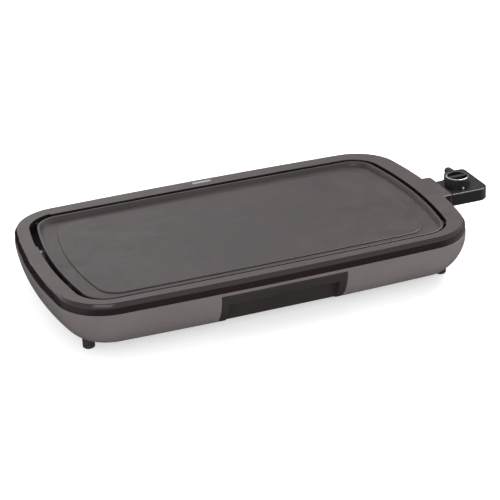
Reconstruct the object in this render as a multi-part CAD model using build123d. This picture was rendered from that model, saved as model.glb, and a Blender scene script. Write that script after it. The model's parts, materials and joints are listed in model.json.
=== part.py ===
"""Electric griddle: a cast non-stick plate in a plastic frame on a curved base housing, with a drip tray
that slides out of the front and a plug-in temperature control on the right.

Millimetres, +Z up, +Y to the back, +X to the right.  The model is laid out about the middle of the griddle
body and moved at the end, so that its origin is the middle of the footprint of the whole appliance."""
from build123d import *
import math
import os

# Griddle body in plan: half sizes of the frame's flat top
BODY_HALF_X = 290.0
BODY_HALF_Y = 165.0
BODY_CORNER_R = 65.0
SIDE_BOW = 19.0
LONG_BOW = 5.5

# Heights of the body
BASE_Z = 16.0
SEAM_Z = 65.0
BEVEL_Z = 74.5
TOP_Z = 80.0
BEVEL_OUT = 3.0
SKIRT_OUT = 3.7
SKIRT_CURVE_R = 60.5
SKIRT_CURVE_Z = 62.0
WALL = 2.5
FLANGE_WIDTH = 30.0
COVER_THICK = 1.0
COVER_OUT = -19.2

# Opening of the frame and outline of the plate: left, right, front, back
OPENING = (-271.0, 264.5, -151.0, 142.0)
OPENING_R = 44.0
PLATE = (-263.5, 260.0, -146.0, 137.0)
PLATE_R = 35.0
INNER_SIDE_BOW = 16.0
INNER_LONG_BOW = 2.0
LIP_Z = 69.0
LIP_WALL = 3.8
CHANNEL_Z = 76.0
RELIEF = 2.4
RELIEF_Y = 45.0

# Plate section
RIM_Z = 79.0
RIM_WIDTH = 3.0
RIM_DRAFT = 2.0
COOK_Z = 74.5
GUTTER_Z = 73.0
COOK_AREA = (-240.0, 236.0, -126.5, 117.0)
COOK_AREA_R = 30.0
PLATE_BOTTOM_Z = 69.0
SEAT_Z = 67.0
PLATE_TIP_Z = 71.0
SLOT = (40.0, 7.0)
SLOT_Y = -135.0

# Heater, terminals and sensing rod share one height
CORE_Z = 63.7
TUBE_R = 3.2
PIN_R = 2.5
PIN_SPREAD = 13.0
ROD_R = 2.5
RUN_FIT = 0.06
HEATER_LOOP = (-205.0, 210.0, -82.0, 72.0)
HEATER_TURN_X = 222.0
HEATER_END_X = 266.0
SEAT_WIDTH = 12.0
SENSOR_X = (190.0, 262.0)
SOCKET_Y = -8.0
SOCKET_X = (272.0, 303.5)
SOCKET_HALF_Y = 27.0
SOCKET_Z = (55.8, 76.4)
HOOD_X = 303.8
HOOD_HALF_Y = 36.0
HOOD_Z = 79.4

# Drip tray
TRAY_HALF_X = 86.6
TRAY_TOP_Z = 60.2
TRAY_GAP = 0.5
TRAY_BACK_Y = -35.0
TRAY_FLOOR_Z = 22.0
TRAY_FLOOR_THICK = 2.0
PAN_HALF_X = 82.0
PAN_TOP_Z = 52.0
FASCIA_BACK_Y = -141.0
GRIP_HALF_X = 76.5
GRIP_TOP = (-155.0, 47.0)
GRIP_BOTTOM = (-145.0, BASE_Z)
GRIP_WALL = 2.2
SPOUT_LOW_Z = 54.5
RAIL_STRIP = 2.2
RAIL_TOP_Z = 34.0
RAIL_FRONT_Y = -136.0
RAIL_SCREW_POINTS = [(x, y) for x in (-90.0, 90.0) for y in (-110.0, -55.0)]

# Feet and screws
FEET_X = 250.0
FEET_Y = 110.0
FOOT_R = 8.0
POST_X = 200.0
POST_Y = (-130.0, 124.0)
SCREW_FIT = 0.05
SHIELD = (-236.0, 231.0, -116.0, 110.0)
SHIELD_Z = 56.0
SHIELD_POINTS = [(x, y) for x in (-150.0, 150.0) for y in (-100.0, 94.0)]
SHEET = 0.8

# Brackets that hang the frame on the plate: screw in the frame, screw in the plate
BRACKETS = (
    [((-281.0, y), (-251.0, y)) for y in (-60.0, 60.0)]
    + [((277.0, y), (246.0, y)) for y in (-90.0, 78.0)]
    + [((x, -158.5), (x, -126.0)) for x in (-150.0, 150.0)]
    + [((x, 156.0), (x, 124.0)) for x in (-150.0, 150.0)]
)
BRACKET_Z = (62.5, 64.0)

# Temperature control
PROBE_Z = (58.0, 76.0)
PROBE_SPLIT_Z = 68.0
PROBE_WALL = 2.2
PROBE_LEFT = 304.6
PROBE_RIGHT = 365.0
PROBE_FRONT = -37.0
PROBE_BACK = 43.0
NECK_BACK = 17.0
NOSE_X = 280.0
NOSE_HALF_Y = 23.5
NOSE_Z = (58.9, 73.0)
NOSE_WALL = 1.4
SLEEVE_R = 3.3
PROBE_SCREW_POINTS = [(311.5, -31.0), (311.5, 11.0), (355.0, -12.0), (358.0, 30.0)]
KNOB = (328.0, SOCKET_Y)
KNOB_Z = (76.4, 90.0)
KNOB_R = 18.8
KNOB_TOP_R = 17.6
KNURLS = 30
RING_R = (14.0, 15.9)
DIAL_Z = 85.0
SHAFT_R = 3.0
SHAFT_TOP_Z = 87.0
GLAND_X = 350.0
GLAND_Z = 67.0
GLAND_BORE_R = 3.5
LENS = (340.0, 24.0)

# The whole appliance runs from the left of the skirt to the right of the control
SHIFT_X = -(PROBE_RIGHT - BODY_HALF_X - SKIRT_OUT) / 2


def bowed(left, right, front, back, radius, side_bow, long_bow):
    """Face in plan with four sides bowed outward and four round corners."""
    mid_x, mid_y = (left + right) / 2, (front + back) / 2
    x0, x1 = left + side_bow, right - side_bow
    y0, y1 = front + long_bow, back - long_bow
    sides = [
        ThreePointArc((x0, y0), (mid_x, front), (x1, y0)),
        ThreePointArc((x1, y0), (right, mid_y), (x1, y1)),
        ThreePointArc((x1, y1), (mid_x, back), (x0, y1)),
        ThreePointArc((x0, y1), (left, mid_y), (x0, y0)),
    ]
    face = make_face(sides)
    return fillet(face.vertices(), radius)


def body_plan(out):
    """Outline of the griddle body, moved outward by out."""
    half_x, half_y = BODY_HALF_X + out, BODY_HALF_Y + out
    return bowed(-half_x, half_x, -half_y, half_y, BODY_CORNER_R + out, SIDE_BOW, LONG_BOW)


def inner_plan(limits, radius, out):
    """Outline of the frame's opening or of the plate, moved outward by out."""
    left, right, front, back = limits
    return bowed(
        left - out, right + out, front - out, back + out, radius + out, INNER_SIDE_BOW, INNER_LONG_BOW
    )


def prism(face, low, high):
    """Solid of a face in plan between two heights."""
    return extrude(Pos(0, 0, low) * face, amount=high - low, dir=(0, 0, 1))


def block(x0, x1, y0, y1, z0, z1):
    """Box between two corners."""
    return Pos((x0 + x1) / 2, (y0 + y1) / 2, (z0 + z1) / 2) * Box(x1 - x0, y1 - y0, z1 - z0)


def post(x, y, low, high, radius):
    """Upright cylinder."""
    return Pos(x, y, (low + high) / 2) * Cylinder(radius, high - low)


def bar(y, z, x0, x1, radius):
    """Cylinder along X."""
    return Pos((x0 + x1) / 2, y, z) * Rot(0, 90, 0) * Cylinder(radius, x1 - x0)


def tube_x(y, z, x0, x1, outer, inner):
    """Tube along X."""
    return bar(y, z, x0, x1, outer) - bar(y, z, x0 - 1, x1 + 1, inner)


def turned(points, centre, axis):
    """Solid of revolution: points are (radius, distance along the axis) from the centre."""
    if axis == "Z":
        face = make_face(Polyline(*[(r, 0, d) for r, d in points], close=True))
        return Pos(*centre) * revolve(face, Axis.Z)
    face = make_face(Polyline(*[(r, d, 0) for r, d in points], close=True))
    return Pos(*centre) * revolve(face, Axis.Y)


def screw(x, y, head_low, tip, shank_r, head_r, head_thick):
    """Screw driven upward: its head is below, its tip above."""
    head = post(x, y, head_low, head_low + head_thick, head_r)
    recess = post(x, y, head_low - 1, head_low + head_thick * 0.5, head_r * 0.4)
    return head + post(x, y, head_low + head_thick * 0.8, tip, shank_r) - recess


def skirt(inset, low, high):
    """The body's lower shape, set in by a wall thickness: upright at the top, curving in below."""
    count = 7
    faces = []
    for step in range(count):
        z = low + (high - low) * step / (count - 1)
        drop = max(SKIRT_CURVE_Z - z, 0)
        inward = SKIRT_CURVE_R - math.sqrt((SKIRT_CURVE_R - inset) ** 2 - drop**2)
        faces.append(Pos(0, 0, z) * body_plan(SKIRT_OUT - inward))
    return loft(faces)


def base_housing():
    """Curved outer shell with a flange at the bottom, the tray's opening and the socket's notch."""
    shell = skirt(0, BASE_Z, SEAM_Z) - skirt(WALL, BASE_Z + WALL, SEAM_Z + 0.5)
    bottom_out = SKIRT_OUT - SKIRT_CURVE_R + math.sqrt(
        SKIRT_CURVE_R**2 - (SKIRT_CURVE_Z - BASE_Z) ** 2
    )
    shell -= prism(body_plan(bottom_out - FLANGE_WIDTH), BASE_Z - 1, BASE_Z + WALL + 1)
    for x in (-POST_X, POST_X):
        for y in POST_Y:
            shell += post(x, y, BASE_Z + 1, BRACKET_Z[1] - 0.2, 5.5)
            shell -= post(x, y, BASE_Z - 1, BRACKET_Z[1] + 1, 2.2)
            shell -= post(x, y, BASE_Z - 1, BASE_Z + 30, 4.0)
    for x, y in cover_screw_points():
        shell -= post(x, y, BASE_Z - 1, BASE_Z + WALL + 1, 1.7)
    for x in (-FEET_X, FEET_X):
        for y in (-FEET_Y, FEET_Y):
            shell -= post(x, y, BASE_Z - 1, BASE_Z + WALL + 1, 2.2)
    half = TRAY_HALF_X + TRAY_GAP
    shell -= block(-half, half, -200, FASCIA_BACK_Y + 1, BASE_Z - 1, TRAY_TOP_Z + TRAY_GAP)
    notch = SOCKET_HALF_Y + 0.1
    shell -= block(250, 310, SOCKET_Y - notch, SOCKET_Y + notch, SOCKET_Z[0] - 0.1, SEAM_Z + 1)
    return shell


def cover_screw_points():
    """Screws through the flange into the bottom cover."""
    sides = [(x, y) for x in (-258.0, 258.0) for y in (-55.0, 55.0)]
    return sides + [(x, y) for x in (-130.0, 130.0) for y in (-134.0, 134.0)]


def bottom_cover():
    """Sheet over the flange, with ventilation slots and room for the tray's front."""
    low = BASE_Z + WALL
    cover = prism(body_plan(COVER_OUT), low, low + COVER_THICK)
    half = TRAY_HALF_X + 2
    cover -= block(-half, half, -200, FASCIA_BACK_Y + 2, low - 1, low + 5)
    for x in (-POST_X, POST_X):
        for y in POST_Y:
            cover -= post(x, y, low - 1, low + 5, 5.7)
    for x, y in cover_screw_points():
        cover -= post(x, y, low - 1, low + 5, 1.5)
    for x in (-FEET_X, FEET_X):
        for y in (-FEET_Y, FEET_Y):
            cover -= post(x, y, low - 1, low + 5, 2.2)
    for x, y in RAIL_SCREW_POINTS:
        cover -= post(x, y, low - 1, low + 5, 1.5)
    slot = prism(SlotOverall(30, 4), low - 1, low + 5)
    for column in range(3):
        for row in range(5):
            for side in (-1, 1):
                cover -= Pos(side * (125 + 40 * column), -40 + 20 * row, 0) * slot
    return cover


def cover_screws():
    """Screws up through the flange into the bottom cover."""
    return [screw(x, y, BASE_Z - 1.8, 22, 1.4, 3.0, 1.8) for x, y in cover_screw_points()]


def foot(x, y):
    """Rubber foot with a pocket for its screw."""
    profile = [(2.2, 8), (4.4, 8), (4.4, 0), (7.0, 0), (FOOT_R, 1.2), (FOOT_R, 12), (7.4, 16), (2.2, 16)]
    return turned(profile, (x, y, 0), "Z")


def foot_screws():
    """One screw in each foot."""
    return [screw(x, y, 5.4, 24, 2.0, 4.0, 2.6) for x in (-FEET_X, FEET_X) for y in (-FEET_Y, FEET_Y)]


def opening_cut(low, high):
    """The frame's opening, with the wider stretch behind the middle of the left side."""
    cut = prism(inner_plan(OPENING, OPENING_R, 0), low, high)
    wide = prism(inner_plan(OPENING, OPENING_R, RELIEF), low, high)
    return cut + (wide & block(-300, -225, RELIEF_Y, 200, low, high))


def top_frame():
    """Frame round the plate: flat top, bevel, upright band, inner lip and the hood over the socket."""
    frame = prism(body_plan(BEVEL_OUT), SEAM_Z, BEVEL_Z)
    frame += loft([Pos(0, 0, BEVEL_Z) * body_plan(BEVEL_OUT), Pos(0, 0, TOP_Z) * body_plan(0)])
    frame += hood()
    channel = prism(body_plan(BEVEL_OUT - WALL), SEAM_Z - 1, CHANNEL_Z)
    channel -= prism(inner_plan(OPENING, OPENING_R, LIP_WALL), LIP_Z, TOP_Z)
    frame -= channel
    frame -= opening_cut(SEAM_Z - 1, TOP_Z + 1)
    for (x, y), _ in BRACKETS:
        frame += post(x, y, BRACKET_Z[1], CHANNEL_Z + 1, 4.0)
        frame -= post(x, y, BRACKET_Z[1] - 1, CHANNEL_Z - 2, 1.45 + SCREW_FIT)
    half = SOCKET_HALF_Y + 0.1
    frame -= block(268, 310, SOCKET_Y - half, SOCKET_Y + half, 50, SOCKET_Z[1] + 0.1)
    return frame - Pos(0, 0, -0.5) * badge_blank()


def hood():
    """Canopy on the right of the frame over the socket."""
    front, back = SOCKET_Y - HOOD_HALF_Y, SOCKET_Y + HOOD_HALF_Y
    canopy = block(280, HOOD_X, front, back, SEAM_Z, HOOD_Z)
    uprights = canopy.edges().filter_by(Axis.Z).sort_by(Axis.X)[-2:]
    canopy = fillet(uprights, 6)
    return fillet(canopy.faces().sort_by(Axis.Z)[-1].edges(), 1.5)


def badge_blank():
    """Plain strip on the back of the frame's flat top."""
    return Pos(3, 155, 0) * prism(RectangleRounded(28, 6, 2), TOP_Z, TOP_Z + 0.8)


def griddle_plate():
    """Cast plate: thin rim, grease gutter round a raised cooking area, drain slot and bosses below."""
    plate = prism(inner_plan(PLATE, PLATE_R, 0), PLATE_BOTTOM_Z, RIM_Z)
    plate = fillet(plate.faces().sort_by(Axis.Z)[-1].edges(), 1.2)
    low = Pos(0, 0, GUTTER_Z) * inner_plan(PLATE, PLATE_R, -RIM_WIDTH - RIM_DRAFT)
    high = Pos(0, 0, RIM_Z + 1) * inner_plan(PLATE, PLATE_R, -RIM_WIDTH)
    plate -= loft([low, high])
    area = prism(inner_plan(COOK_AREA, COOK_AREA_R, 0), GUTTER_Z - 1, COOK_Z)
    plate += fillet(area.faces().sort_by(Axis.Z)[-1].edges(), 1.2)
    plate -= prism(Pos(0, SLOT_Y) * SlotOverall(*SLOT), PLATE_BOTTOM_Z - 1, COOK_Z)
    plate += heater_seat()
    points = [inner for _, inner in BRACKETS] + SHIELD_POINTS + clamp_points()
    for x, y in points:
        plate += post(x, y, BRACKET_Z[1], PLATE_BOTTOM_Z + 1, 4.5)
        plate -= post(x, y, BRACKET_Z[1] - 1, PLATE_BOTTOM_Z + 2.5, 1.45 + SCREW_FIT)
    for x in (-POST_X, POST_X):
        for y in POST_Y:
            plate += post(x, y, BRACKET_Z[1], PLATE_BOTTOM_Z + 1, 6.0)
            plate -= post(x, y, BRACKET_Z[1] - 1, PLATE_BOTTOM_Z + 2.5, 2.0 + SCREW_FIT)
    return plate


def heater_seat():
    """Raised pads under the plate that the heating tube and the sensing tube lie against."""
    left, right, front, back = HEATER_LOOP
    loop = Pos((left + right) / 2, (front + back) / 2) * (
        Rectangle(right - left + SEAT_WIDTH, back - front + SEAT_WIDTH)
        - Rectangle(right - left - SEAT_WIDTH, back - front - SEAT_WIDTH)
    )
    high = PLATE_BOTTOM_Z + 1
    pad = prism(loop, SEAT_Z, high)
    half = SEAT_WIDTH / 2
    return pad + block(SENSOR_X[0] - 2, right, SOCKET_Y - half, SOCKET_Y + half, SEAT_Z, high)


def plate_screws():
    """Long screws up through the housing's posts into the plate."""
    return [screw(x, y, BASE_Z + 26, PLATE_TIP_Z, 2.0, 3.8, 4) for x in (-POST_X, POST_X) for y in POST_Y]


def name_badge():
    """Blank strip set into the frame."""
    return Pos(0, 0, -0.5) * badge_blank()


def brackets():
    """Flat strips from the frame's bosses to the plate's bosses."""
    strips = []
    for (x0, y0), (x1, y1) in BRACKETS:
        length = math.hypot(x1 - x0, y1 - y0) + 9
        angle = math.degrees(math.atan2(y1 - y0, x1 - x0))
        face = Pos((x0 + x1) / 2, (y0 + y1) / 2) * Rot(0, 0, angle) * SlotOverall(length, 9)
        strip = prism(face, *BRACKET_Z)
        for x, y in ((x0, y0), (x1, y1)):
            strip -= post(x, y, BRACKET_Z[0] - 1, BRACKET_Z[1] + 1, 1.6)
        strips.append(strip)
    return strips


def bracket_screws():
    """Two short screws in each bracket."""
    screws = []
    for outer, inner in BRACKETS:
        screws.append(screw(*outer, BRACKET_Z[0] - 2, CHANNEL_Z - 2.5, 1.45, 3.0, 2))
        screws.append(screw(*inner, BRACKET_Z[0] - 2, PLATE_TIP_Z, 1.45, 3.0, 2))
    return screws


def element_route():
    """Centre line of the heating tube: a loop under the plate that ends at the two terminals."""
    near, far = SOCKET_Y - PIN_SPREAD, SOCKET_Y + PIN_SPREAD
    left, right, front, back = HEATER_LOOP
    points = [
        (HEATER_END_X, near),
        (HEATER_TURN_X, near),
        (right, front),
        (left, front),
        (left, back),
        (right, back),
        (HEATER_TURN_X, far),
        (HEATER_END_X, far),
    ]
    return FilletPolyline(*[(x, y, CORE_Z) for x, y in points], radius=16)


def heating_element():
    """Sheathed tubular heater."""
    route = element_route()
    return sweep(Plane(origin=route @ 0, z_dir=route % 0) * Circle(TUBE_R), path=route)


def clamp_points():
    """Screws of the straps that hold the heating tube against the plate."""
    _, _, front, back = HEATER_LOOP
    return [(x, y + side * 8) for x in (-120.0, 120.0) for y, side in ((front, 1), (back, -1))]


def element_clamps():
    """Straps over the heating tube, one screw each."""
    straps = []
    for x, y in clamp_points():
        side = -1 if y < 0 else 1
        tube_y = y + side * 8
        tab = block(x - 5, x + 5, *sorted((y - 5 * side, y + 4 * side)), *BRACKET_Z)
        low = CORE_Z - TUBE_R - 1.2
        reach = sorted((y + 3 * side, tube_y + 4.6 * side))
        saddle = block(x - 5, x + 5, reach[0], reach[1], low, BRACKET_Z[1])
        saddle -= bar(tube_y, CORE_Z, x - 6, x + 6, TUBE_R + 0.1)
        saddle -= block(x - 6, x + 6, *sorted((tube_y - 3.4 * side, tube_y + 3.4 * side)), CORE_Z, 70)
        tab = tab + saddle - post(x, y, BRACKET_Z[0] - 5, BRACKET_Z[1] + 1, 1.6)
        straps.append(tab)
    return straps


def clamp_screws():
    """One screw in each strap."""
    return [screw(x, y, BRACKET_Z[0] - 2, PLATE_TIP_Z, 1.45, 2.6, 2) for x, y in clamp_points()]


def terminal_pins():
    """Round contact pins on the ends of the heating tube."""
    pins = []
    for side in (-1, 1):
        y = SOCKET_Y + side * PIN_SPREAD
        pin = bar(y, CORE_Z, 266, 298, PIN_R)
        pins.append(fillet(pin.faces().sort_by(Axis.X)[-1].edges(), 1.2))
    return pins


def terminal_insulators():
    """Ceramic bushes round the pins in the socket's back wall."""
    bushes = []
    for side in (-1, 1):
        y = SOCKET_Y + side * PIN_SPREAD
        bushes.append(tube_x(y, CORE_Z, 267, 278, 4.8, PIN_R + SCREW_FIT))
    return bushes


def probe_socket():
    """Shroud that the control plugs into, with a back wall for the pins and the rod."""
    x0, x1 = SOCKET_X
    z0, z1 = SOCKET_Z
    front, back = SOCKET_Y - SOCKET_HALF_Y, SOCKET_Y + SOCKET_HALF_Y
    shroud = block(x0, x1, front, back, z0, z1)
    shroud = fillet(shroud.edges().filter_by(Axis.X), 2)
    shroud -= block(x0 + 3, x1 + 1, front + WALL, back - WALL, z0 + WALL, z1 - WALL)
    for side in (-1, 1):
        shroud -= bar(SOCKET_Y + side * PIN_SPREAD, CORE_Z, x0 - 1, x0 + 4, 4.8 + SCREW_FIT)
    return shroud - bar(SOCKET_Y, CORE_Z, x0 - 1, x0 + 4, 3.6)


def sensor_tube():
    """Thin tube under the plate that receives the sensing rod."""
    return tube_x(SOCKET_Y, CORE_Z, *SENSOR_X, TUBE_R, ROD_R + RUN_FIT)


def heat_shield():
    """Sheet-metal tray under the heater, with an upturned edge."""
    left, right, front, back = SHIELD
    outer = prism(bowed(left, right, front, back, 24, 6, 1), SHIELD_Z, SHIELD_Z + 4)
    inner = bowed(left + SHEET, right - SHEET, front + SHEET, back - SHEET, 24 - SHEET, 6, 1)
    shield = outer - prism(inner, SHIELD_Z + SHEET, SHIELD_Z + 5)
    for x, y in SHIELD_POINTS:
        shield -= post(x, y, SHIELD_Z - 1, SHIELD_Z + 2, 1.7)
    return shield


def shield_spacers():
    """Short tubes between the shield and the plate's bosses."""
    low = SHIELD_Z + SHEET
    return [post(x, y, low, BRACKET_Z[1], 3.5) - post(x, y, low - 1, 65, 1.7) for x, y in SHIELD_POINTS]


def shield_screws():
    """Screws up through the shield and its spacers into the plate."""
    return [screw(x, y, SHIELD_Z - 2, PLATE_TIP_Z, 1.45, 3.2, 2) for x, y in SHIELD_POINTS]


def drain_spout():
    """Sheet-metal chute from the plate's slot down to the drip tray."""
    low, high = SPOUT_LOW_Z, PLATE_BOTTOM_Z
    half_x, half_y = SLOT[0] / 2 + 3, SLOT[1] / 2 + 2
    spout = block(-half_x, half_x, SLOT_Y - half_y, SLOT_Y + half_y, low, high)
    half_x, half_y = half_x - 1, half_y - 1
    return spout - block(-half_x, half_x, SLOT_Y - half_y, SLOT_Y + half_y, low - 1, high + 1)


def tray_rail(side):
    """Runner on the bottom cover: a floor strip and an upright guide beside the tray."""
    low = BASE_Z + WALL + COVER_THICK
    guide = PAN_HALF_X + 0.5
    end = TRAY_BACK_Y + 6
    strip = sorted((side * 74, side * 96))
    upright = sorted((side * guide, side * (guide + 2)))
    stop = sorted((side * 60, side * (guide + 2)))
    rail = block(*strip, RAIL_FRONT_Y, end, low, low + RAIL_STRIP)
    rail += block(*upright, RAIL_FRONT_Y, end, low, RAIL_TOP_Z)
    rail += block(*stop, end - 4, end, low, RAIL_TOP_Z)
    for x, y in RAIL_SCREW_POINTS:
        rail -= post(x, y, low - 1, low + 3, 1.6)
    return rail


def rail_screws():
    """Two screws in each runner, driven down into the cover."""
    low = BASE_Z + WALL + COVER_THICK + RAIL_STRIP
    screws = []
    for x, y in RAIL_SCREW_POINTS:
        body = post(x, y, low, low + 1.8, 2.8) + post(x, y, low - 3, low + 0.5, 1.45)
        screws.append(body - post(x, y, low + 1, low + 3, 1.1))
    return screws


def grip_prism(grow):
    """Finger recess in the tray's front: open below, with a sloping back."""
    (y_top, z_top), (y_low, z_low) = GRIP_TOP, GRIP_BOTTOM
    slope = (y_low - y_top) / (z_top - z_low)
    z_high, z_deep = z_top + grow, z_low - 5
    y_high = y_top - slope * grow + grow
    y_deep = y_low + slope * 5 + grow
    points = [(-220, z_deep), (y_deep, z_deep), (y_high, z_high), (-220, z_high)]
    face = make_face(Polyline(*[(0, y, z) for y, z in points], close=True))
    half = GRIP_HALF_X + grow
    return Pos(-half, 0, 0) * extrude(face, amount=2 * half, dir=(1, 0, 0))


def drip_tray():
    """One moulding: a pan behind a front that continues the housing's curve, with a finger recess."""
    front = skirt(0, BASE_Z, SEAM_Z) & block(
        -TRAY_HALF_X, TRAY_HALF_X, -200, FASCIA_BACK_Y, BASE_Z, TRAY_TOP_Z
    )
    tray = front + block(
        -PAN_HALF_X, PAN_HALF_X, FASCIA_BACK_Y - 1, TRAY_BACK_Y, TRAY_FLOOR_Z, PAN_TOP_Z
    )
    floor = TRAY_FLOOR_Z + TRAY_FLOOR_THICK
    inset = TRAY_HALF_X - WALL
    hollow = skirt(WALL, BASE_Z + WALL, SEAM_Z) & block(
        -inset, inset, -200, FASCIA_BACK_Y, floor, TRAY_TOP_Z + 3
    )
    pan = PAN_HALF_X - TRAY_FLOOR_THICK
    hollow += block(-pan, pan, FASCIA_BACK_Y - 1, TRAY_BACK_Y - TRAY_FLOOR_THICK, floor, TRAY_TOP_Z + 3)
    tray -= hollow - grip_prism(GRIP_WALL)
    return tray - grip_prism(0)


def probe_plan():
    """Outline of the control: a narrow neck that widens to the back for the cord."""
    points = [
        (PROBE_LEFT, PROBE_FRONT),
        (PROBE_RIGHT, PROBE_FRONT),
        (PROBE_RIGHT, PROBE_BACK),
        (333, PROBE_BACK),
        (320, NECK_BACK),
        (PROBE_LEFT, NECK_BACK),
    ]
    radii = (2, 16, 7, 9, 12, 2)
    face = make_face(Polyline(*points, close=True))
    for point, radius in zip(points, radii):
        corner = min(face.vertices(), key=lambda v: math.hypot(v.X - point[0], v.Y - point[1]))
        face = fillet(corner, radius)
    return face


def probe_hollow(low, high):
    """Space inside the control's housing."""
    inner = offset(probe_plan(), -PROBE_WALL)
    nose = NOSE_HALF_Y - NOSE_WALL
    floor, roof = max(low, NOSE_Z[0] + NOSE_WALL), min(high, NOSE_Z[1] - NOSE_WALL)
    reach = block(NOSE_X + 2, PROBE_LEFT + 4, SOCKET_Y - nose, SOCKET_Y + nose, floor, roof)
    return prism(inner, low, high) + reach


def nose_block(low, high):
    """Part of the control that enters the socket."""
    return block(NOSE_X, PROBE_LEFT + 1, SOCKET_Y - NOSE_HALF_Y, SOCKET_Y + NOSE_HALF_Y, low, high)


def gland_hole():
    """Hole in the control's back wall for the cord gland."""
    return Pos(GLAND_X, PROBE_BACK - 1, GLAND_Z) * Rot(90, 0, 0) * Cylinder(5.05, 6)


def probe_lower_housing():
    """Lower half of the control."""
    low = PROBE_Z[0]
    shell = prism(probe_plan(), low, PROBE_SPLIT_Z)
    shell = fillet(shell.faces().sort_by(Axis.Z)[0].edges(), 1.5)
    shell += nose_block(NOSE_Z[0], PROBE_SPLIT_Z)
    shell -= probe_hollow(low + PROBE_WALL, PROBE_SPLIT_Z + 1)
    for x, y in PROBE_SCREW_POINTS:
        shell += post(x, y, low + 0.5, PROBE_SPLIT_Z, 3.4)
        shell -= post(x, y, low - 1, low + 3, 2.7)
        shell -= post(x, y, low - 1, PROBE_SPLIT_Z + 1, 1.5)
    for side in (-1, 1):
        shell -= bar(SOCKET_Y + side * PIN_SPREAD, CORE_Z, NOSE_X - 1, NOSE_X + 3, SLEEVE_R)
    shell -= bar(SOCKET_Y, CORE_Z, NOSE_X - 1, NOSE_X + 3, ROD_R + 0.1)
    return shell - gland_hole()


def probe_upper_housing():
    """Upper half of the control, with the knob's and the lamp's holes."""
    high = PROBE_Z[1]
    shell = prism(probe_plan(), PROBE_SPLIT_Z, high)
    shell = fillet(shell.faces().sort_by(Axis.Z)[-1].edges(), 1.8)
    shell += nose_block(PROBE_SPLIT_Z, NOSE_Z[1])
    shell -= probe_hollow(PROBE_SPLIT_Z - 1, high - PROBE_WALL)
    for x, y in PROBE_SCREW_POINTS:
        shell += post(x, y, PROBE_SPLIT_Z, high - 1, 3.4)
        shell -= post(x, y, PROBE_SPLIT_Z - 1, high - 3, 1.3 + SCREW_FIT)
    shell -= post(*KNOB, high - 5, high + 1, 5.1)
    shell -= post(*LENS, high - 5, high + 1, 2.65)
    return shell - gland_hole()


def probe_screws():
    """Screws that close the control from below."""
    return [screw(x, y, PROBE_Z[0] + 0.6, 72.5, 1.3, 2.5, 2.2) for x, y in PROBE_SCREW_POINTS]


def sensing_rod():
    """Stainless rod that reads the plate's temperature."""
    rod = bar(SOCKET_Y, CORE_Z, 196, 313, ROD_R)
    return fillet(rod.faces().sort_by(Axis.X)[0].edges(), 1.5)


def contact_sleeves():
    """Spring sleeves that grip the terminal pins."""
    return [
        tube_x(SOCKET_Y + side * PIN_SPREAD, CORE_Z, 282.5, 308, SLEEVE_R, PIN_R + RUN_FIT) for side in (-1, 1)
    ]


def contact_block():
    """Moulded block that holds the sleeves and the rod."""
    body = block(303, 311, SOCKET_Y - 18, SOCKET_Y + 15, PROBE_Z[0] + PROBE_WALL + 0.2, PROBE_SPLIT_Z - 0.2)
    for side in (-1, 1):
        body -= bar(SOCKET_Y + side * PIN_SPREAD, CORE_Z, 300, 308, SLEEVE_R + SCREW_FIT)
        body -= bar(SOCKET_Y + side * PIN_SPREAD, CORE_Z, 307, 315, 1.5)
    return body - bar(SOCKET_Y, CORE_Z, 300, 315, ROD_R + SCREW_FIT)


def thermostat_bracket():
    """Bent steel frame that carries the thermostat under the knob."""
    x, y = KNOB
    low, high = PROBE_Z[0] + PROBE_WALL, 73.6
    frame = block(x - 13, x + 13, y - 7, y + 7, low, high)
    frame -= block(x - 11.8, x + 11.8, y - 8, y + 8, low + 1.2, high - 1.2)
    return frame - post(x, y, high - 3, high + 1, SHAFT_R + 0.3)


def thermostat_bushing():
    """Bearing for the knob's shaft, on top of the bracket."""
    return post(*KNOB, 73.6, 76.0, 5.0) - post(*KNOB, 73, 77, SHAFT_R + RUN_FIT)


def bimetal_strip():
    """Bimetal strip with its contact, under the shaft's end."""
    x, y = KNOB
    strip = block(x - 11.5, x + 11.5, y - 2.5, y + 2.5, 63.2, 64.0)
    return strip + post(x - 9, y, PROBE_Z[0] + PROBE_WALL + 1.2, 63.6, 2.2)


def switch_contacts():
    """Fixed and moving contact buttons at the strip's free end."""
    x, y = KNOB
    low = PROBE_Z[0] + PROBE_WALL + 1.2
    return [post(x + 9, y, low, low + 0.9, 1.6), post(x + 9, y, 62.4, 63.2, 1.6)]


def neon_lamp():
    """Small lamp under the lens."""
    return fillet(post(*LENS, 64, 73, 2.2).edges(), 0.9)


def indicator_lens():
    """Clear lens in the top of the control."""
    return turned([(0, 0), (2.6, 0), (2.6, 2.4), (1.8, 2.9), (0, 3.1)], (*LENS, 73.6), "Z")


def cord_gland():
    """Ribbed bend relief where the mains cord would leave the control."""
    profile = [(GLAND_BORE_R, -5.0), (6.4, -5.0), (6.4, -2.2), (5.0, -2.2)]
    profile += [(5.0, 0.0), (6.8, 0.0), (6.8, 3.0)]
    ribs = 4
    for rib in range(ribs):
        start = 4.2 + 4.4 * rib
        radius = 6.5 - 0.2 * rib
        profile += [(4.8, start - 0.6), (radius, start), (radius, start + 2.2), (4.8, start + 2.8)]
    profile += [(4.8, 22.5), (4.4, 23.0), (GLAND_BORE_R, 23.0)]
    return turned(profile, (GLAND_X, PROBE_BACK, GLAND_Z), "Y")


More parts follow.
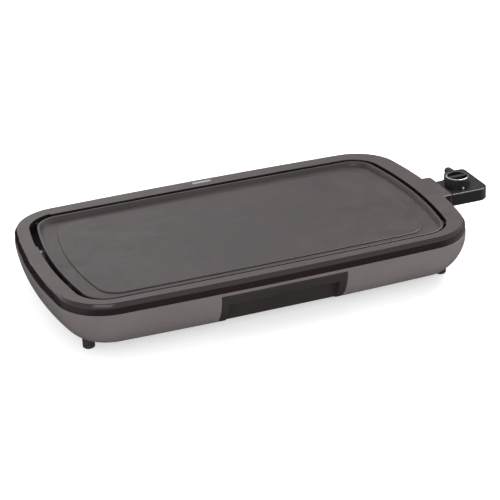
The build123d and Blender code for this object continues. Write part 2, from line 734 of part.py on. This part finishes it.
def control_knob():
    """Ribbed knob with a sunk dial and a grip bar across it."""
    x, y = KNOB
    low, high = KNOB_Z
    bore = SHAFT_R + SCREW_FIT
    profile = [(bore, low), (KNOB_R, low), (KNOB_R, low + 2), (KNOB_TOP_R, high), (bore, high)]
    body = turned(profile, (x, y, 0), "Z")
    body = fillet(body.edges().filter_by(GeomType.CIRCLE).sort_by(SortBy.RADIUS)[-3:-2], 0.8)
    body -= post(x, y, high - 0.9, high + 1, RING_R[1] + SCREW_FIT)
    body -= post(x, y, DIAL_Z, high + 1, RING_R[0])
    grip = prism(SlotOverall(2 * RING_R[0] - 1, 6.5), DIAL_Z - 1, high - 0.3)
    body += Pos(x, y, 0) * grip
    body -= post(x, y, low - 1, SHAFT_TOP_Z, bore)
    for step in range(KNURLS):
        angle = 2 * math.pi * (step + 0.5) / KNURLS
        reach = KNOB_R + 0.35
        body -= post(x + reach * math.cos(angle), y + reach * math.sin(angle), low + 3.2, high + 1, 1.25)
    return body - knob_pointer()


def knob_pointer():
    """Light marker low on the front of the knob."""
    x, y = KNOB
    return block(x - 1.1, x + 1.1, y - KNOB_R - 0.25, y - KNOB_R + 1, KNOB_Z[0] + 0.4, KNOB_Z[0] + 3)


def knob_ring():
    """Bright trim ring in the top of the knob."""
    ring = post(*KNOB, KNOB_Z[1] - 0.9, KNOB_Z[1] + 0.4, RING_R[1])
    ring = fillet(ring.faces().sort_by(Axis.Z)[-1].edges(), 0.5)
    return ring - post(*KNOB, KNOB_Z[1] - 2, KNOB_Z[1] + 2, RING_R[0])


def knob_shaft():
    """Steel spindle from the knob down to the thermostat, with its cam."""
    return post(*KNOB, 65, SHAFT_TOP_Z, SHAFT_R) + post(*KNOB, 65, 67, 6)


def nodes():
    """Every separate piece by name."""
    pieces = {
        "base_housing": base_housing(),
        "bottom_cover": bottom_cover(),
        "top_frame": top_frame(),
        "griddle_plate": griddle_plate(),
        "plate_screws": plate_screws(),
        "name_badge": name_badge(),
        "frame_brackets": brackets(),
        "bracket_screws": bracket_screws(),
        "heating_element": heating_element(),
        "element_clamps": element_clamps(),
        "clamp_screws": clamp_screws(),
        "terminal_pins": terminal_pins(),
        "terminal_insulators": terminal_insulators(),
        "probe_socket": probe_socket(),
        "sensor_tube": sensor_tube(),
        "heat_shield": heat_shield(),
        "shield_spacers": shield_spacers(),
        "shield_screws": shield_screws(),
        "drain_spout": drain_spout(),
        "tray_rail_left": tray_rail(-1),
        "tray_rail_right": tray_rail(1),
        "rail_screws": rail_screws(),
        "cover_screws": cover_screws(),
        "foot_screws": foot_screws(),
        "drip_tray": drip_tray(),
        "probe_upper_housing": probe_upper_housing(),
        "probe_lower_housing": probe_lower_housing(),
        "probe_screws": probe_screws(),
        "sensing_rod": sensing_rod(),
        "contact_sleeves": contact_sleeves(),
        "contact_block": contact_block(),
        "thermostat_bracket": thermostat_bracket(),
        "thermostat_bushing": thermostat_bushing(),
        "bimetal_strip": bimetal_strip(),
        "switch_contacts": switch_contacts(),
        "neon_lamp": neon_lamp(),
        "indicator_lens": indicator_lens(),
        "cord_gland": cord_gland(),
        "control_knob": control_knob(),
        "knob_pointer": knob_pointer(),
        "knob_ring": knob_ring(),
        "knob_shaft": knob_shaft(),
    }
    for side, x in (("left", -FEET_X), ("right", FEET_X)):
        for end, y in (("front", -FEET_Y), ("rear", FEET_Y)):
            pieces[f"foot_{end}_{side}"] = foot(x, y)
    return pieces


os.makedirs("parts", exist_ok=True)
for name, piece in nodes().items():
    shape = Compound(piece) if isinstance(piece, list) else piece
    export_step(Pos(SHIFT_X, 0, 0) * shape, f"parts/{name}.step")
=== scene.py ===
"""Looks of the electric griddle: materials, softened edges, studio and camera.

Metres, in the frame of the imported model: +X right, +Y back, +Z up."""

import json
import math

import bmesh
import bpy
from mathutils import Matrix, Vector

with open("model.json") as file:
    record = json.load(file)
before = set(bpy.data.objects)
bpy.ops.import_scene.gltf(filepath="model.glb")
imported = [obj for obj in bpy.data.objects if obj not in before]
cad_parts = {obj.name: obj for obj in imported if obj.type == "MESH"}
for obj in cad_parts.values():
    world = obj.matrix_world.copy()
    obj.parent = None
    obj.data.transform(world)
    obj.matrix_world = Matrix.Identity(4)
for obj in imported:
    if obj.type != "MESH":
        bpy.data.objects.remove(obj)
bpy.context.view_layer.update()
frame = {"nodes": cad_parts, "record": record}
nodes = frame["nodes"]
scene = bpy.context.scene

# Camera: where it looks, from which side and how far away
TARGET = Vector((-0.02406, -0.00965, 0.040))
CAMERA_YAW = -0.354
CAMERA_ELEVATION = 0.436
CAMERA_ROLL = -0.0425
CAMERA_DISTANCE = 2.374
CAMERA_LENS = 125.37

# Brightness of the surroundings, in the upper half behind the model and in the lower half
HORIZON_LIGHT = 0.95
OVERHEAD_LIGHT = 0.80
BACK_LEFT_GAIN = 1.5
BACK_RIGHT_GAIN = 0.18
FLOOR_DARK = 0.015
FLOOR_SIDE = 0.34

# Floor: half its width, how far it lies below the feet, and the light it gives off
FLOOR_HALF = 14.0
FLOOR_DROP = 0.0002
FLOOR_GLOW = 0.55

# Lamps: name, place, point they face, size, power and colour
LAMPS = [
    ("key", (1.3, 0.5, 1.7), (0, 0, 0.03), (1.1, 1.1), 46.0, (1.0, 0.99, 0.975)),
    ("fill", (-1.2, -1.9, 1.3), (0, 0, 0.05), (1.6, 1.0), 9.0, (0.98, 0.99, 1.0)),
]

# Colours of the black and grey mouldings and of the plate's coating
FRAME_BLACK = (0.017, 0.0105, 0.0115)
# Painted light: the frame's upward-facing top is coloured lighter than its black
FRAME_TOP_PAINTED_LIGHT = (0.046, 0.034, 0.034)
PLATE_COATING = (0.030, 0.0212, 0.0220)
HOUSING_GREY = (0.120, 0.1045, 0.1035)
CONTROL_BLACK = (0.016, 0.0145, 0.0155)
TRAY_BLACK = (0.026, 0.0205, 0.0205)

# The heater's steel sheath and its heat stain
SHEATH = (0.17, 0.15, 0.145)
SHEATH_STAIN = (0.09, 0.06, 0.05)

# Rounding of sharp edges: widths for each node, and the angle from which an edge counts as sharp
SOFT_EDGES = {
    "top_frame": 0.0007,
    "griddle_plate": 0.0005,
    "base_housing": 0.0005,
    "drip_tray": 0.0006,
    "probe_upper_housing": 0.0006,
    "probe_lower_housing": 0.0006,
}
SHARP_ANGLE = math.radians(32.0)


def place_camera():
    """Camera at the viewing angle above, with the horizon tilted by the roll."""
    back = Vector(
        (
            math.sin(CAMERA_YAW) * math.cos(CAMERA_ELEVATION),
            -math.cos(CAMERA_YAW) * math.cos(CAMERA_ELEVATION),
            math.sin(CAMERA_ELEVATION),
        )
    )
    right = (-back).cross(Vector((0, 0, 1))).normalized()
    up = right.cross(-back)
    side = right * math.cos(CAMERA_ROLL) + up * math.sin(CAMERA_ROLL)
    top = up * math.cos(CAMERA_ROLL) - right * math.sin(CAMERA_ROLL)
    camera = bpy.data.objects.new("camera", bpy.data.cameras.new("camera"))
    scene.collection.objects.link(camera)
    camera.data.lens = CAMERA_LENS
    camera.data.sensor_width = 36.0
    camera.data.clip_start, camera.data.clip_end = 0.05, 60.0
    turn = Matrix((side, top, back)).transposed().to_4x4()
    camera.matrix_world = Matrix.Translation(TARGET + back * CAMERA_DISTANCE) @ turn
    scene.camera = camera


class Graph:
    """The nodes of one material, around a Principled shader."""

    def __init__(self, name):
        self.material = bpy.data.materials.new(name)
        self.material.use_nodes = True
        self.tree = self.material.node_tree
        self.tree.nodes.clear()
        self.shader = self.node("ShaderNodeBsdfPrincipled")
        out = self.node("ShaderNodeOutputMaterial")
        self.tree.links.new(self.shader.outputs[0], out.inputs[0])
        self.place = self.node("ShaderNodeTexCoord").outputs["Object"]

    def node(self, kind, **settings):
        made = self.tree.nodes.new(kind)
        for key, value in settings.items():
            setattr(made, key, value)
        return made

    def put(self, socket, value):
        if isinstance(value, bpy.types.NodeSocket):
            self.tree.links.new(value, socket)
        elif isinstance(value, tuple) and len(value) == 3 and socket.type == "RGBA":
            socket.default_value = (*value, 1.0)
        else:
            socket.default_value = value

    def set(self, **values):
        for key, value in values.items():
            self.put(self.shader.inputs[key.replace("_", " ")], value)

    def stretched(self, stretch):
        if stretch == (1, 1, 1):
            return self.place
        made = self.node("ShaderNodeMapping")
        self.put(made.inputs["Vector"], self.place)
        made.inputs["Scale"].default_value = stretch
        return made.outputs[0]

    def noise(self, scale, detail=3.0, rough=0.55, stretch=(1, 1, 1), twist=0.0):
        made = self.node("ShaderNodeTexNoise")
        self.put(made.inputs["Vector"], self.stretched(stretch))
        made.inputs["Scale"].default_value = scale
        made.inputs["Detail"].default_value = detail
        made.inputs["Roughness"].default_value = rough
        made.inputs["Distortion"].default_value = twist
        return made.outputs["Fac"]

    def cells(self, scale, output="Distance"):
        made = self.node("ShaderNodeTexVoronoi", feature="F1")
        self.put(made.inputs["Vector"], self.place)
        made.inputs["Scale"].default_value = scale
        return made.outputs[output]

    def ranged(self, value, low, high, to_low=0.0, to_high=1.0):
        made = self.node("ShaderNodeMapRange")
        self.put(made.inputs["Value"], value)
        for key, number in (("From Min", low), ("From Max", high), ("To Min", to_low), ("To Max", to_high)):
            made.inputs[key].default_value = number
        return made.outputs["Result"]

    def maths(self, operation, first, second=0.0):
        made = self.node("ShaderNodeMath", operation=operation)
        self.put(made.inputs[0], first)
        self.put(made.inputs[1], second)
        return made.outputs[0]

    def mixed(self, share, first, second):
        made = self.node("ShaderNodeMix", data_type="RGBA")
        self.put(made.inputs["Factor"], share)
        self.put(made.inputs[6], first)
        self.put(made.inputs[7], second)
        return made.outputs[2]

    def axis_of(self, vector, axis):
        made = self.node("ShaderNodeSeparateXYZ")
        self.put(made.inputs[0], vector)
        return made.outputs[axis]

    def upward(self):
        """How far the surface faces up, from -1 to 1."""
        return self.axis_of(self.node("ShaderNodeNewGeometry").outputs["Normal"], "Z")

    def edges(self, radius):
        """1 along sharp edges, 0 elsewhere."""
        soft = self.node("ShaderNodeBevel", samples=4)
        soft.inputs["Radius"].default_value = radius
        flat = self.node("ShaderNodeNewGeometry").outputs["Normal"]
        made = self.node("ShaderNodeVectorMath", operation="DOT_PRODUCT")
        self.put(made.inputs[0], soft.outputs[0])
        self.put(made.inputs[1], flat)
        return self.ranged(made.outputs["Value"], 0.995, 0.90)

    def bump(self, height, depth, under=None):
        made = self.node("ShaderNodeBump")
        made.inputs["Distance"].default_value = depth
        made.inputs["Strength"].default_value = 1.0
        self.put(made.inputs["Height"], height)
        if under is not None:
            self.put(made.inputs["Normal"], under)
        return made.outputs[0]


def shaded(colour, factor):
    """The colour made darker or lighter."""
    return tuple(min(1.0, c * factor) for c in colour)


def moulded(name, colour, rough, grain=1400.0, depth=3e-5, edge_wear_and_highlight=0.25, spread=0.12):
    """Injection-moulded plastic or rubber: fine grain, faint flow patches, edges painted lighter as part
    rubbing wear and part painted highlight, handling marks.
    """
    g = Graph(name)
    flow = g.noise(7.0, detail=4.0, twist=0.6)
    base = g.mixed(g.ranged(flow, 0.3, 0.7), shaded(colour, 0.88), shaded(colour, 1.12))
    fine = g.noise(grain, detail=2.0)
    base = g.mixed(g.ranged(fine, 0.35, 0.75, 0.0, 0.35), base, shaded(colour, 1.45))
    # Edges painted lighter: part rubbing wear, part painted highlight
    worn_highlit_edges = g.maths("MULTIPLY", g.edges(0.0007), g.ranged(g.noise(160.0), 0.35, 0.65))
    base = g.mixed(g.maths("MULTIPLY", worn_highlit_edges, edge_wear_and_highlight), base, shaded(colour, 3.2))
    marks = g.noise(38.0, detail=5.0, rough=0.6, twist=1.2)
    roughness = g.ranged(marks, 0.3, 0.7, rough - spread / 2, rough + spread / 2)
    roughness = g.maths("SUBTRACT", roughness, g.maths("MULTIPLY", worn_highlit_edges, 0.08))
    under = g.bump(g.noise(260.0, detail=1.0), depth * 0.8)
    g.set(Base_Color=base, Roughness=roughness, Normal=g.bump(fine, depth, under=under))
    return g


def metal(name, colour, rough, stretch=(1, 1, 1), lines=900.0, depth=1.5e-5, stain=0.2, stain_colour=None):
    """Bare metal: drawn or rolled lines, dull patches, and edges painted brighter, part wear and part
    painted highlight.
    """
    g = Graph(name)
    drawn = g.noise(lines, detail=3.0, stretch=stretch)
    base = g.mixed(g.ranged(drawn, 0.3, 0.7), shaded(colour, 0.82), shaded(colour, 1.12))
    dull = g.ranged(g.noise(45.0, detail=5.0, rough=0.65, twist=0.8), 0.45, 0.75, 0.0, stain)
    base = g.mixed(dull, base, stain_colour or shaded(colour, 0.45))
    # Painted highlight along the edges, partly bright worn metal
    bright = g.maths("MULTIPLY", g.edges(0.0004), 0.5)
    base = g.mixed(bright, base, shaded(colour, 1.35))
    roughness = g.maths("ADD", g.ranged(drawn, 0.3, 0.7, rough - 0.07, rough + 0.07), dull)
    g.set(Base_Color=base, Roughness=roughness, Metallic=1.0, Normal=g.bump(drawn, depth))
    return g


def frame_plastic():
    """The frame's black plastic: fine satin grain on the flat top, polished bevel, band and lips. The
    upward-facing top is coloured lighter as painted light.
    """
    g = Graph("frame_black")
    flat = g.ranged(g.upward(), 0.90, 0.985)
    grain = g.noise(1500.0, detail=2.0)
    handled = g.noise(26.0, detail=5.0, twist=1.0)
    satin = g.ranged(handled, 0.3, 0.7, 0.34, 0.44)
    polished = g.ranged(handled, 0.3, 0.7, 0.07, 0.13)
    blend = g.node("ShaderNodeMix", data_type="FLOAT")
    g.put(blend.inputs[0], flat)
    g.put(blend.inputs[2], polished)
    g.put(blend.inputs[3], satin)
    # Painted light: faces turned up get the lighter top colour, the rest keep the black
    g.set(Roughness=blend.outputs[0], Base_Color=g.mixed(flat, FRAME_BLACK, FRAME_TOP_PAINTED_LIGHT))
    wave = g.bump(g.noise(70.0, detail=1.0), 2.0e-5)
    g.set(Normal=g.bump(g.maths("MULTIPLY", grain, flat), 5.5e-5, under=wave))
    return g


def coated_plate():
    """Non-stick coating: warm near-black with fine mineral flecks, orange peel and faint utensil marks."""
    g = Graph("nonstick_plate")
    cloud = g.noise(11.0, detail=5.0, twist=0.9)
    base = g.mixed(g.ranged(cloud, 0.3, 0.7), shaded(PLATE_COATING, 0.86), shaded(PLATE_COATING, 1.16))
    fleck = g.maths("LESS_THAN", g.cells(900.0), 0.16)
    pick = g.maths("GREATER_THAN", g.noise(700.0, detail=0.0), 0.56)
    fleck = g.maths("MULTIPLY", fleck, pick)
    base = g.mixed(g.maths("MULTIPLY", fleck, 0.55), base, (0.17, 0.155, 0.15))
    scratch = g.maths("GREATER_THAN", g.noise(60.0, detail=2.0, stretch=(1.0, 26.0, 1.0), twist=0.3), 0.735)
    base = g.mixed(g.maths("MULTIPLY", scratch, 0.16), base, (0.10, 0.092, 0.09))
    # Edges painted lighter: part rubbed coating, part painted highlight
    worn_highlit_edges = g.maths("MULTIPLY", g.edges(0.0007), g.ranged(g.noise(120.0), 0.3, 0.6))
    base = g.mixed(g.maths("MULTIPLY", worn_highlit_edges, 0.4), base, (0.12, 0.11, 0.107))
    oily = g.ranged(g.noise(18.0, detail=5.0, twist=1.4), 0.35, 0.7, 0.36, 0.48)
    rough = g.maths("SUBTRACT", oily, g.maths("MULTIPLY", fleck, 0.14))
    peel = g.bump(g.noise(420.0, detail=2.0), 3.5e-5)
    g.set(Base_Color=base, Roughness=rough, Normal=g.bump(fleck, 1.0e-5, under=peel))
    return g


def spangled_sheet():
    """Galvanised sheet: zinc spangle and pressed dullness."""
    g = Graph("galvanised_sheet")
    crystal = g.axis_of(g.cells(130.0, output="Color"), "X")
    base = g.mixed(crystal, (0.40, 0.41, 0.42), (0.62, 0.63, 0.645))
    dull = g.ranged(g.noise(28.0, detail=5.0), 0.42, 0.72, 0.0, 0.45)
    base = g.mixed(dull, base, (0.30, 0.30, 0.30))
    rough = g.maths("ADD", g.ranged(crystal, 0.0, 1.0, 0.30, 0.44), g.maths("MULTIPLY", dull, 0.3))
    g.set(Base_Color=base, Roughness=rough, Metallic=1.0, Normal=g.bump(crystal, 1.0e-5))
    return g


def ceramic():
    """Unglazed terminal ceramic: pitted, slightly stained."""
    g = Graph("ceramic_white")
    base = g.mixed(g.ranged(g.noise(90.0, detail=5.0), 0.35, 0.7), (0.80, 0.77, 0.70), (0.62, 0.57, 0.49))
    pits = g.ranged(g.cells(700.0), 0.0, 0.35)
    g.set(Base_Color=base, Roughness=g.ranged(pits, 0.0, 1.0, 0.75, 0.55), Normal=g.bump(pits, 5e-5))
    return g


def clear(name, colour, rough, ripple):
    """Moulded clear lens or lamp glass with a slight ripple."""
    g = Graph(name)
    tone = g.mixed(g.ranged(g.noise(300.0), 0.3, 0.7), shaded(colour, 0.85), shaded(colour, 1.1))
    waves = g.noise(900.0, detail=1.0)
    g.set(Base_Color=tone, Roughness=g.ranged(waves, 0.3, 0.7, rough, rough + 0.08))
    g.set(Normal=g.bump(waves, ripple), Transmission_Weight=0.75, IOR=1.5)
    return g


def build_materials():
    """One material for each slot of the record."""
    made = [
        moulded("housing_grey", HOUSING_GREY, 0.46, grain=1500.0, depth=4e-5, edge_wear_and_highlight=0.10, spread=0.10),
        frame_plastic(),
        coated_plate(),
        moulded("tray_black", TRAY_BLACK, 0.40, grain=1400.0, depth=4e-5, edge_wear_and_highlight=0.16),
        spangled_sheet(),
        metal("screw_steel", (0.46, 0.46, 0.47), 0.30, lines=2600.0),
        metal("element_sheath", SHEATH, 0.46, lines=700.0, stain=0.5, stain_colour=SHEATH_STAIN),
        metal("contact_brass", (0.74, 0.58, 0.28), 0.24, lines=1800.0),
        ceramic(),
        metal("stainless", (0.60, 0.60, 0.60), 0.24, stretch=(0.06, 1, 1), lines=1800.0),
        moulded("rail_plastic", (0.045, 0.043, 0.042), 0.5),
        moulded("foot_rubber", (0.022, 0.021, 0.021), 0.72, grain=900.0, depth=8e-5, edge_wear_and_highlight=0.3),
        metal("badge_satin", (0.50, 0.50, 0.51), 0.34, stretch=(0.04, 1, 1), lines=2400.0),
        moulded("control_black", CONTROL_BLACK, 0.20, grain=1900.0, depth=1e-5, edge_wear_and_highlight=0.25, spread=0.10),
        moulded("gland_rubber", (0.014, 0.014, 0.014), 0.55, grain=900.0, depth=5e-5),
        metal("bushing_brass", (0.66, 0.54, 0.30), 0.28, lines=2200.0),
        metal("bimetal", (0.50, 0.44, 0.36), 0.32, stretch=(0.05, 1, 1), lines=1500.0, stain=0.35),
        clear("lamp_glass", (0.95, 0.80, 0.70), 0.04, 1e-5),
        clear("lens_amber", (0.85, 0.24, 0.05), 0.08, 3e-5),
        moulded("knob_black", (0.013, 0.0125, 0.013), 0.28, grain=1900.0, depth=1.5e-5, edge_wear_and_highlight=0.35),
        moulded("pointer_white", (0.62, 0.62, 0.64), 0.35, edge_wear_and_highlight=0.1),
        metal("ring_chrome", (0.80, 0.80, 0.81), 0.10, lines=3000.0, depth=4e-6, stain=0.06),
    ]
    return {g.material.name: g.material for g in made}


def dress(materials):
    """Gives each node the material of its slot."""
    for part in frame["record"]["subparts"]:
        mesh = nodes[part["node"]].data
        mesh.materials.clear()
        mesh.materials.append(materials[part["material_slot"]])


def soften(name, width):
    """Rounds a node's sharp edges without touching its own mesh."""
    node = nodes[name]
    weld = node.modifiers.new("weld", "WELD")
    weld.merge_threshold = 1e-6
    bevel = node.modifiers.new("bevel", "BEVEL")
    bevel.width = width
    bevel.segments = 2
    bevel.limit_method = "ANGLE"
    bevel.angle_limit = SHARP_ANGLE
    bevel.harden_normals = True
    bevel.miter_outer = "MITER_ARC"


def area_light(name, place, aim, size, power, colour):
    """Soft rectangular lamp that faces a point."""
    lamp = bpy.data.lights.new(name, "AREA")
    lamp.shape = "RECTANGLE"
    lamp.size, lamp.size_y = size
    lamp.energy = power
    lamp.color = colour
    holder = bpy.data.objects.new(name, lamp)
    scene.collection.objects.link(holder)
    holder.location = place
    holder.rotation_mode = "QUATERNION"
    holder.rotation_quaternion = (Vector(aim) - Vector(place)).to_track_quat("-Z", "Y")


class Sky(Graph):
    """The surroundings that light the model and show in its glossy parts."""

    def __init__(self):
        world = bpy.data.worlds.new("studio")
        scene.world = world
        world.use_nodes = True
        self.tree = world.node_tree
        self.tree.nodes.clear()
        self.shader = self.node("ShaderNodeBackground")
        out = self.node("ShaderNodeOutputWorld")
        self.tree.links.new(self.shader.outputs[0], out.inputs[0])
        self.place = self.node("ShaderNodeTexCoord").outputs["Generated"]

    def build(self):
        """Bright above the horizon, most of all behind on the left.  Below, grey at the sides only."""
        across, up = self.axis_of(self.place, "X"), self.axis_of(self.place, "Z")
        behind = self.axis_of(self.place, "Y")
        high = self.ranged(up, 0.0, 0.30, HORIZON_LIGHT, OVERHEAD_LIGHT)
        turned = self.ranged(across, 0.20, 0.44, BACK_LEFT_GAIN, BACK_RIGHT_GAIN)
        toward = self.ranged(behind, 0.2, 0.6)
        gain = self.maths("ADD", self.maths("MULTIPLY", self.maths("SUBTRACT", turned, 1.0), toward), 1.0)
        high = self.maths("MULTIPLY", high, gain)
        side = self.ranged(self.maths("ABSOLUTE", across), 0.55, 0.92, FLOOR_DARK, FLOOR_SIDE)
        share = self.ranged(up, -0.06, 0.04)
        above = self.maths("MULTIPLY", high, share)
        below = self.maths("MULTIPLY", side, self.maths("SUBTRACT", 1.0, share))
        self.put(self.shader.inputs[0], self.maths("ADD", above, below))
        self.put(self.shader.inputs[1], 1.0)


def studio():
    """White floor, the sky, and two soft lamps."""
    Sky().build()
    mesh = bpy.data.meshes.new("floor")
    shape = bmesh.new()
    bmesh.ops.create_grid(shape, x_segments=8, y_segments=8, size=FLOOR_HALF)
    shape.to_mesh(mesh)
    shape.free()
    floor = bpy.data.objects.new("floor", mesh)
    scene.collection.objects.link(floor)
    paint = Graph("floor_white")
    tone = paint.mixed(paint.noise(1.5, detail=2.0), (0.78, 0.78, 0.78), (0.80, 0.80, 0.80))
    paint.set(Base_Color=tone, Roughness=0.9, Specular_IOR_Level=0.1)
    paint.set(Emission_Color=(1.0, 1.0, 1.0), Emission_Strength=FLOOR_GLOW)
    mesh.materials.append(paint.material)
    floor.visible_glossy = False
    floor.location.z = -FLOOR_DROP

    for lamp in LAMPS:
        area_light(*lamp)


place_camera()
for plain in list(bpy.data.materials):
    bpy.data.materials.remove(plain)
dress(build_materials())
for softened, width in SOFT_EDGES.items():
    soften(softened, width)
studio()

scene.view_settings.view_transform = "Standard"
scene.view_settings.look = "None"
